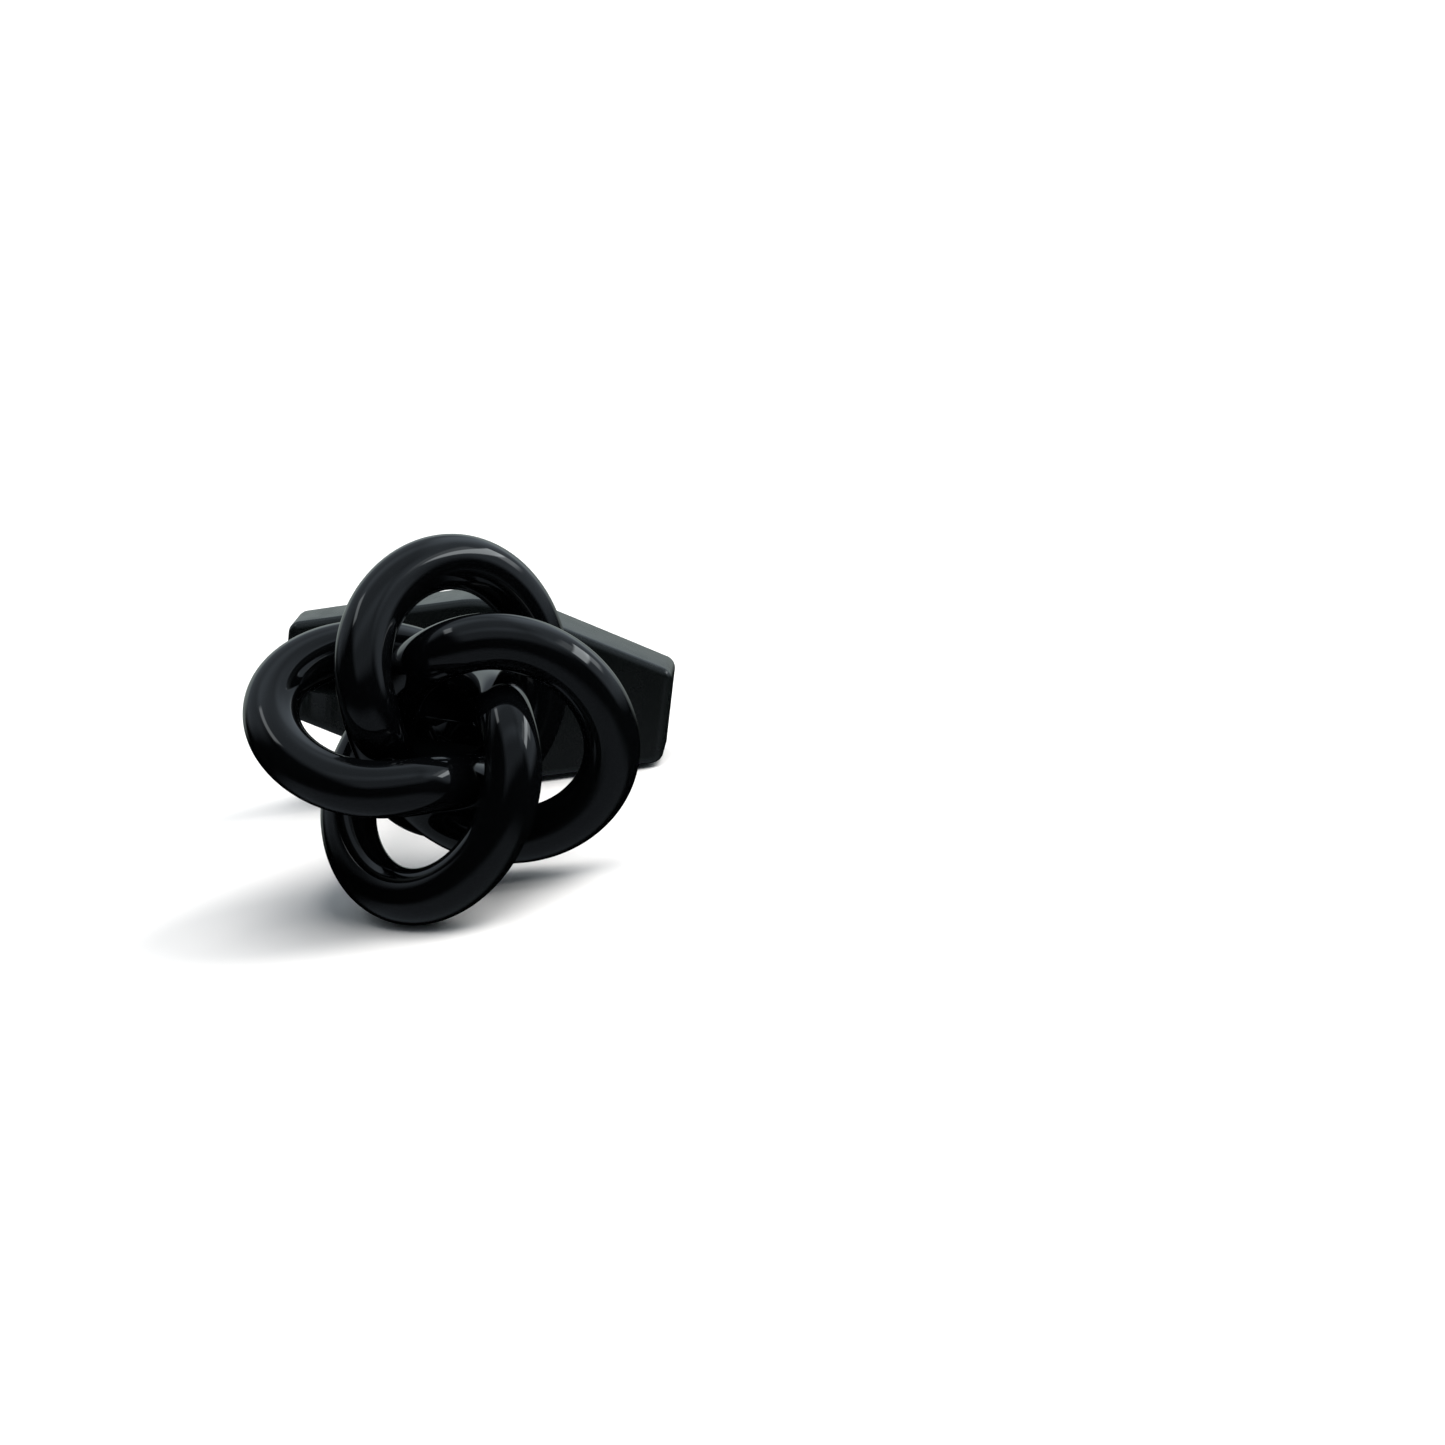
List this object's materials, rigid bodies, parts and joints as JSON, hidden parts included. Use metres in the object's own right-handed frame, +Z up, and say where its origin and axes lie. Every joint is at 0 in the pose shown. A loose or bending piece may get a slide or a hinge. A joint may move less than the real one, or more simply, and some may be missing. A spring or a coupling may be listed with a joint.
{
  "type": "knot cufflink",
  "caption": "Glossy black cufflink: a round strand wound into an open lobed knot, on a leaning post with a swivel toggle that folds in line with the post.",
  "frame": {"origin": "middle of the bounding box at floor level, as the cufflink lies by itself on the knot's bottom lobe and the toggle's lower edge", "axes": "+Z up from the floor, -Y towards the side that the knot's face looks to, +X towards the knot's right lobe"},
  "size_m": [0.0196, 0.0236, 0.0154],
  "materials": {
    "gloss_black": "glossy black lacquer over brass",
    "satin_black": "satin black lacquer over brass"
  },
  "bodies": {
    "head": {"knot": "gloss_black"},
    "swivel": {"toggle": "satin_black", "pivot_pin": "satin_black"}
  },
  "joints": [
    {"name": "toggle_swivel", "type": "hinge", "parent": "head", "child": "swivel", "pos_m": [0.00039, 0.00881, 0.00468], "axis": [0.2693, 0.0223, 0.9628], "range_deg": [0, 90]}
  ]
}
